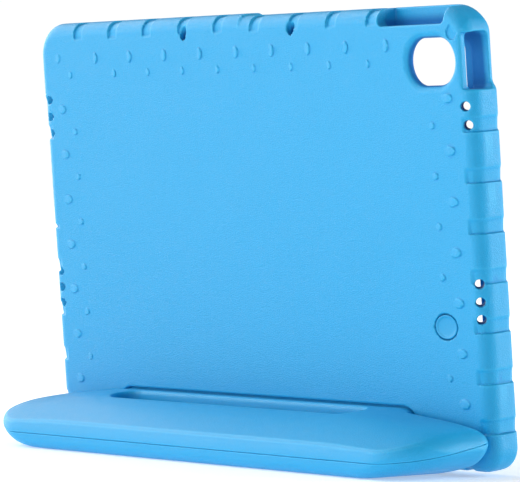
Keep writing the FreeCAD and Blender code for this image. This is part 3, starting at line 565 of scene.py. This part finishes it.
def foam_material(name, base, light, deep, grain=1.0, use_edge=True):
    """Moulded closed-cell foam with a fine leather-like skin."""
    m = bpy.data.materials.new(name)
    m.use_nodes = True
    nt = m.node_tree
    nt.nodes.clear()
    out = node(nt, "ShaderNodeOutputMaterial", (900, 0))
    bsdf = node(nt, "ShaderNodeBsdfPrincipled", (600, 0))
    nt.links.new(bsdf.outputs[0], out.inputs[0])
    bsdf.inputs["IOR"].default_value = 1.45
    bsdf.inputs["Specular IOR Level"].default_value = 0.48
    bsdf.inputs["Sheen Weight"].default_value = 0.03
    bsdf.inputs["Sheen Roughness"].default_value = 0.45
    bsdf.inputs["Sheen Tint"].default_value = (0.75, 0.9, 1.0, 1.0)
    co = node(nt, "ShaderNodeTexCoord", (-1300, 0))
    # slow change of tone
    cloud = node(nt, "ShaderNodeTexNoise", (-1000, 300))
    cloud.inputs["Scale"].default_value = 28.0
    cloud.inputs["Detail"].default_value = 3.0
    nt.links.new(co.outputs["Object"], cloud.inputs["Vector"])
    tone = node(nt, "ShaderNodeMix", (-700, 300), data_type="RGBA")
    tone.inputs["A"].default_value = (*base, 1)
    tone.inputs["B"].default_value = (*[c * 0.955 for c in base], 1)
    nt.links.new(cloud.outputs["Fac"], tone.inputs["Factor"])
    # skin cells, like fine leather
    warp = node(nt, "ShaderNodeTexNoise", (-1050, -50))
    warp.inputs["Scale"].default_value = 900.0
    warp.inputs["Detail"].default_value = 2.0
    nt.links.new(co.outputs["Object"], warp.inputs["Vector"])
    shift = node(nt, "ShaderNodeVectorMath", (-850, -50), operation="MULTIPLY_ADD")
    shift.inputs[1].default_value = (0.0011, 0.0011, 0.0011)
    nt.links.new(warp.outputs["Color"], shift.inputs[0])
    nt.links.new(co.outputs["Object"], shift.inputs[2])
    cells = node(nt, "ShaderNodeTexVoronoi", (-650, -50), feature="DISTANCE_TO_EDGE")
    cells.inputs["Scale"].default_value = 1150.0
    nt.links.new(shift.outputs["Vector"], cells.inputs["Vector"])
    crease = node(nt, "ShaderNodeMapRange", (-450, -50), interpolation_type="SMOOTHSTEP")
    crease.inputs["From Max"].default_value = 0.22
    nt.links.new(cells.outputs["Distance"], crease.inputs["Value"])
    fine_n = node(nt, "ShaderNodeTexNoise", (-650, -320))
    fine_n.inputs["Scale"].default_value = 2600.0
    fine_n.inputs["Detail"].default_value = 3.0
    nt.links.new(co.outputs["Object"], fine_n.inputs["Vector"])
    lumps = node(nt, "ShaderNodeTexNoise", (-650, -560))
    lumps.inputs["Scale"].default_value = 330.0
    lumps.inputs["Detail"].default_value = 2.0
    nt.links.new(co.outputs["Object"], lumps.inputs["Vector"])
    sum1 = node(nt, "ShaderNodeMath", (-250, -150), operation="MULTIPLY_ADD")
    sum1.inputs[1].default_value = 0.55
    nt.links.new(fine_n.outputs["Fac"], sum1.inputs[0])
    nt.links.new(crease.outputs["Result"], sum1.inputs[2])
    sum2 = node(nt, "ShaderNodeMath", (-60, -250), operation="MULTIPLY_ADD")
    sum2.inputs[1].default_value = 1.1
    nt.links.new(lumps.outputs["Fac"], sum2.inputs[0])
    nt.links.new(sum1.outputs[0], sum2.inputs[2])
    bump = node(nt, "ShaderNodeBump", (300, -250))
    bump.inputs["Strength"].default_value = 0.55 * grain
    bump.inputs["Distance"].default_value = 0.00011
    nt.links.new(sum2.outputs[0], bump.inputs["Height"])
    nt.links.new(bump.outputs["Normal"], bsdf.inputs["Normal"])
    # creases of the skin are a touch deeper in colour
    skin = node(nt, "ShaderNodeMix", (-250, 250), data_type="RGBA")
    skin.inputs["A"].default_value = (*[c * 0.93 for c in base], 1)
    nt.links.new(crease.outputs["Result"], skin.inputs["Factor"])
    nt.links.new(tone.outputs["Result"], skin.inputs["B"])
    colour = skin.outputs["Result"]
    if use_edge:
        at = node(nt, "ShaderNodeAttribute", (-700, 650), attribute_name="edge", attribute_type="GEOMETRY")
        up = node(nt, "ShaderNodeMapRange", (-450, 750))
        up.inputs["From Min"].default_value = 0.12
        up.inputs["From Max"].default_value = 1.1
        up.inputs["To Max"].default_value = 0.42
        nt.links.new(at.outputs["Fac"], up.inputs["Value"])
        worn = node(nt, "ShaderNodeMix", (0, 350), data_type="RGBA")
        worn.inputs["B"].default_value = (*light, 1)
        nt.links.new(up.outputs["Result"], worn.inputs["Factor"])
        nt.links.new(colour, worn.inputs["A"])
        # hollow creases are mixed towards the deep colour: partly dirt, partly painted shade
        crease_dirt_and_shade = node(nt, "ShaderNodeMapRange", (-450, 520))
        crease_dirt_and_shade.inputs["From Min"].default_value = -0.1
        crease_dirt_and_shade.inputs["From Max"].default_value = -1.2
        crease_dirt_and_shade.inputs["To Max"].default_value = 0.35
        nt.links.new(at.outputs["Fac"], crease_dirt_and_shade.inputs["Value"])
        dark = node(nt, "ShaderNodeMix", (200, 350), data_type="RGBA")
        dark.inputs["B"].default_value = (*deep, 1)
        nt.links.new(crease_dirt_and_shade.outputs["Result"], dark.inputs["Factor"])
        nt.links.new(worn.outputs["Result"], dark.inputs["A"])
        # painted shade: where the 'hollow' attribute is high (openings, recesses, walls closed in by the piece) the
        # colour is mixed towards a dark navy
        painted_shade_attr = node(nt, "ShaderNodeAttribute", (0, 850), attribute_name="hollow", attribute_type="GEOMETRY")
        painted_shade_mix = node(nt, "ShaderNodeMapRange", (200, 750), interpolation_type="SMOOTHSTEP")
        painted_shade_mix.inputs["From Min"].default_value = 0.16
        painted_shade_mix.inputs["From Max"].default_value = 0.66
        painted_shade_mix.inputs["To Max"].default_value = 0.96
        nt.links.new(painted_shade_attr.outputs["Fac"], painted_shade_mix.inputs["Value"])
        shade = node(nt, "ShaderNodeMix", (400, 450), data_type="RGBA")
        shade.inputs["B"].default_value = (0.0, 0.13, 0.42, 1)
        nt.links.new(painted_shade_mix.outputs["Result"], shade.inputs["Factor"])
        nt.links.new(dark.outputs["Result"], shade.inputs["A"])
        colour = shade.outputs["Result"]
    nt.links.new(colour, bsdf.inputs["Base Color"])
    rough = node(nt, "ShaderNodeMapRange", (300, 50))
    rough.inputs["To Min"].default_value = 0.36
    rough.inputs["To Max"].default_value = 0.50
    nt.links.new(lumps.outputs["Fac"], rough.inputs["Value"])
    dull = rough.outputs["Result"]
    if use_edge:
        flat = node(nt, "ShaderNodeMath", (500, 50), operation="ADD")
        nt.links.new(dull, flat.inputs[0])
        more = node(nt, "ShaderNodeMath", (350, -120), operation="MULTIPLY")
        more.inputs[1].default_value = 0.45
        nt.links.new(painted_shade_mix.outputs["Result"], more.inputs[0])
        nt.links.new(more.outputs[0], flat.inputs[1])
        dull = flat.outputs[0]
    nt.links.new(dull, bsdf.inputs["Roughness"])
    return m


BLUE = (0.003, 0.365, 0.72)
LIGHT = (0.034, 0.475, 0.81)
DEEP = (0.004, 0.22, 0.62)
foam = foam_material("foam_skin", BLUE, LIGHT, DEEP)
handle_foam = foam_material("handle_foam_skin", BLUE, LIGHT, DEEP)
plug_foam = foam_material("plug_foam_skin", tuple(c * 0.93 for c in BLUE), LIGHT, DEEP, grain=0.5, use_edge=False)
for obj, m in ((shell, foam), (upper, handle_foam), (lower, handle_foam), (plug, plug_foam)):
    obj.data.materials.clear()
    obj.data.materials.append(m)


def steel_material():
    """Drawn steel rod: fine lines round it from drawing, a little dull."""
    m = bpy.data.materials.new("drawn_steel")
    m.use_nodes = True
    nt = m.node_tree
    bsdf = nt.nodes["Principled BSDF"]
    bsdf.inputs["Metallic"].default_value = 1.0
    co = node(nt, "ShaderNodeTexCoord", (-900, 0))
    mapping = node(nt, "ShaderNodeMapping", (-700, 0))
    mapping.inputs["Scale"].default_value = (20, 3000, 3000)
    nt.links.new(co.outputs["Object"], mapping.inputs["Vector"])
    streak = node(nt, "ShaderNodeTexNoise", (-500, 0))
    streak.inputs["Scale"].default_value = 1.0
    streak.inputs["Detail"].default_value = 4.0
    nt.links.new(mapping.outputs["Vector"], streak.inputs["Vector"])
    tone = node(nt, "ShaderNodeMix", (-250, 200), data_type="RGBA")
    tone.inputs["A"].default_value = (0.42, 0.43, 0.45, 1)
    tone.inputs["B"].default_value = (0.66, 0.67, 0.69, 1)
    nt.links.new(streak.outputs["Fac"], tone.inputs["Factor"])
    nt.links.new(tone.outputs["Result"], bsdf.inputs["Base Color"])
    rough = node(nt, "ShaderNodeMapRange", (-250, 0))
    rough.inputs["To Min"].default_value = 0.28
    rough.inputs["To Max"].default_value = 0.45
    nt.links.new(streak.outputs["Fac"], rough.inputs["Value"])
    nt.links.new(rough.outputs["Result"], bsdf.inputs["Roughness"])
    bump = node(nt, "ShaderNodeBump", (-250, -250))
    bump.inputs["Strength"].default_value = 0.2
    bump.inputs["Distance"].default_value = 0.00003
    nt.links.new(streak.outputs["Fac"], bump.inputs["Height"])
    nt.links.new(bump.outputs["Normal"], bsdf.inputs["Normal"])
    return m


def plastic_material():
    """Dark moulded plastic with a fine spark-eroded texture."""
    m = bpy.data.materials.new("socket_plastic")
    m.use_nodes = True
    nt = m.node_tree
    bsdf = nt.nodes["Principled BSDF"]
    co = node(nt, "ShaderNodeTexCoord", (-900, 0))
    grit = node(nt, "ShaderNodeTexNoise", (-650, 0))
    grit.inputs["Scale"].default_value = 3500.0
    grit.inputs["Detail"].default_value = 3.0
    nt.links.new(co.outputs["Object"], grit.inputs["Vector"])
    tone = node(nt, "ShaderNodeMix", (-250, 200), data_type="RGBA")
    tone.inputs["A"].default_value = (0.035, 0.036, 0.04, 1)
    tone.inputs["B"].default_value = (0.065, 0.066, 0.07, 1)
    nt.links.new(grit.outputs["Fac"], tone.inputs["Factor"])
    nt.links.new(tone.outputs["Result"], bsdf.inputs["Base Color"])
    rough = node(nt, "ShaderNodeMapRange", (-250, 0))
    rough.inputs["To Min"].default_value = 0.42
    rough.inputs["To Max"].default_value = 0.6
    nt.links.new(grit.outputs["Fac"], rough.inputs["Value"])
    nt.links.new(rough.outputs["Result"], bsdf.inputs["Roughness"])
    bump = node(nt, "ShaderNodeBump", (-250, -250))
    bump.inputs["Strength"].default_value = 0.3
    bump.inputs["Distance"].default_value = 0.00004
    nt.links.new(grit.outputs["Fac"], bump.inputs["Height"])
    nt.links.new(bump.outputs["Normal"], bsdf.inputs["Normal"])
    return m


def assign(name, m):
    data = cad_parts[name].data
    if len(data.materials):
        for i in range(len(data.materials)):
            data.materials[i] = m
    else:
        data.materials.append(m)


steel, black = steel_material(), plastic_material()
assign("hinge_rod", steel)
assign("hinge_socket_left", black)
assign("hinge_socket_right", black)
for name, m in (("shell", foam), ("oval_plug", plug_foam), ("handle_upper_half", handle_foam), ("handle_lower_half", handle_foam)):
    assign(name, m)

# ------------------------------------------------------------------ floor, light, camera
floor_mesh = bpy.data.meshes.new("studio_floor")
S = 12.0
floor_mesh.from_pydata([(-S, -S, 0), (S, -S, 0), (S, S, 0), (-S, S, 0)], [], [(0, 1, 2, 3)])
floor = bpy.data.objects.new("studio_floor", floor_mesh)
scene.collection.objects.link(floor)
floor.location.z = -0.00005
fm = bpy.data.materials.new("studio_floor")
fm.use_nodes = True
fb = fm.node_tree.nodes["Principled BSDF"]
fb.inputs["Base Color"].default_value = (0.93, 0.93, 0.93, 1)
fb.inputs["Roughness"].default_value = 0.75
fb.inputs["Specular IOR Level"].default_value = 0.2
fb.inputs["Emission Color"].default_value = (1, 1, 1, 1)
fb.inputs["Emission Strength"].default_value = 0.34
floor_mesh.materials.append(fm)

# The light is a soft studio all round: each line is a large panel, given by
# its azimuth and elevation in degrees (azimuth 0 faces the case's back, and
# grows towards its right), its full and outer half width, and its strength.
PANELS = [
    (-100, 8, 10, 26, 2.6), (-65, 8, 10, 26, 2.3), (-30, 8, 10, 26, 2.7), (5, 8, 10, 26, 1.8),
    (-50, 40, 10, 27, 2.0), (-88, 40, 10, 27, 2.8), (140, 10, 9, 24, 9.5), (90, 80, 22, 46, 0.35),
]
AMBIENT, HORIZON = 0.10, 0.92

world = bpy.data.worlds.new("studio")
scene.world = world
world.use_nodes = True
wt = world.node_tree
bg = wt.nodes["Background"]
bg.inputs["Strength"].default_value = 1.0
direction = node(wt, "ShaderNodeTexCoord", (-1400, 0))
total = node(wt, "ShaderNodeValue", (-1100, 500))
total.outputs[0].default_value = AMBIENT
total = total.outputs[0]
for k, (az, el, full, outer, power) in enumerate(PANELS):
    az, el = math.radians(az), math.radians(el)
    centre = (math.sin(az) * math.cos(el), -math.cos(az) * math.cos(el), math.sin(el))
    dot = node(wt, "ShaderNodeVectorMath", (-1100, 300 - 160 * k), operation="DOT_PRODUCT")
    dot.inputs[1].default_value = centre
    wt.links.new(direction.outputs["Generated"], dot.inputs[0])
    ramp = node(wt, "ShaderNodeMapRange", (-850, 300 - 160 * k), interpolation_type="SMOOTHSTEP")
    ramp.inputs["From Min"].default_value = math.cos(math.radians(outer))
    ramp.inputs["From Max"].default_value = math.cos(math.radians(full))
    ramp.inputs["To Max"].default_value = power
    wt.links.new(dot.outputs["Value"], ramp.inputs["Value"])
    add = node(wt, "ShaderNodeMath", (-600 + 60 * k, 300 - 160 * k), operation="ADD")
    wt.links.new(total, add.inputs[0])
    wt.links.new(ramp.outputs["Result"], add.inputs[1])
    total = add.outputs[0]
split = node(wt, "ShaderNodeSeparateXYZ", (-1100, -1300))
wt.links.new(direction.outputs["Generated"], split.inputs[0])
height = node(wt, "ShaderNodeMath", (-900, -1300), operation="ABSOLUTE")
wt.links.new(split.outputs["Z"], height.inputs[0])
band = node(wt, "ShaderNodeMapRange", (-700, -1300), interpolation_type="SMOOTHSTEP")
band.inputs["From Min"].default_value = 0.20
band.inputs["From Max"].default_value = 0.06
band.inputs["To Max"].default_value = HORIZON
wt.links.new(height.outputs[0], band.inputs["Value"])
add = node(wt, "ShaderNodeMath", (0, -1000), operation="ADD")
wt.links.new(total, add.inputs[0])
wt.links.new(band.outputs["Result"], add.inputs[1])
wt.links.new(add.outputs[0], bg.inputs["Color"])

RIGHT = np.array([0.6461, 0.7606, -0.0635])
DOWN = np.array([0.0236, -0.1031, -0.9944])
AHEAD = np.array([-0.7629, 0.641, -0.0845])
FOCAL = 3559.0
ahead = FOCAL * AHEAD - 49.0 * DOWN
ahead /= np.linalg.norm(ahead)
right = RIGHT - ahead * (RIGHT @ ahead)
right /= np.linalg.norm(right)
up = np.cross(right, ahead)
cam_data = bpy.data.cameras.new("camera")
cam_data.sensor_width = 36.0
cam_data.lens = FOCAL / 520.0 * 36.0
cam_data.clip_start, cam_data.clip_end = 0.05, 50.0
cam = bpy.data.objects.new("camera", cam_data)
scene.collection.objects.link(cam)
R3 = np.stack([dir_world(right), dir_world(up), -dir_world(ahead)], 1)
M = Matrix([[*R3[0], 0], [*R3[1], 0], [*R3[2], 0], [0, 0, 0, 1]])
M.translation = Vector(to_world(np.array([1158.9, -970.3, 200.4])))
cam.matrix_world = M
scene.camera = cam
scene.view_settings.view_transform = "Standard"
scene.view_settings.look = "None"

bpy.context.view_layer.update()
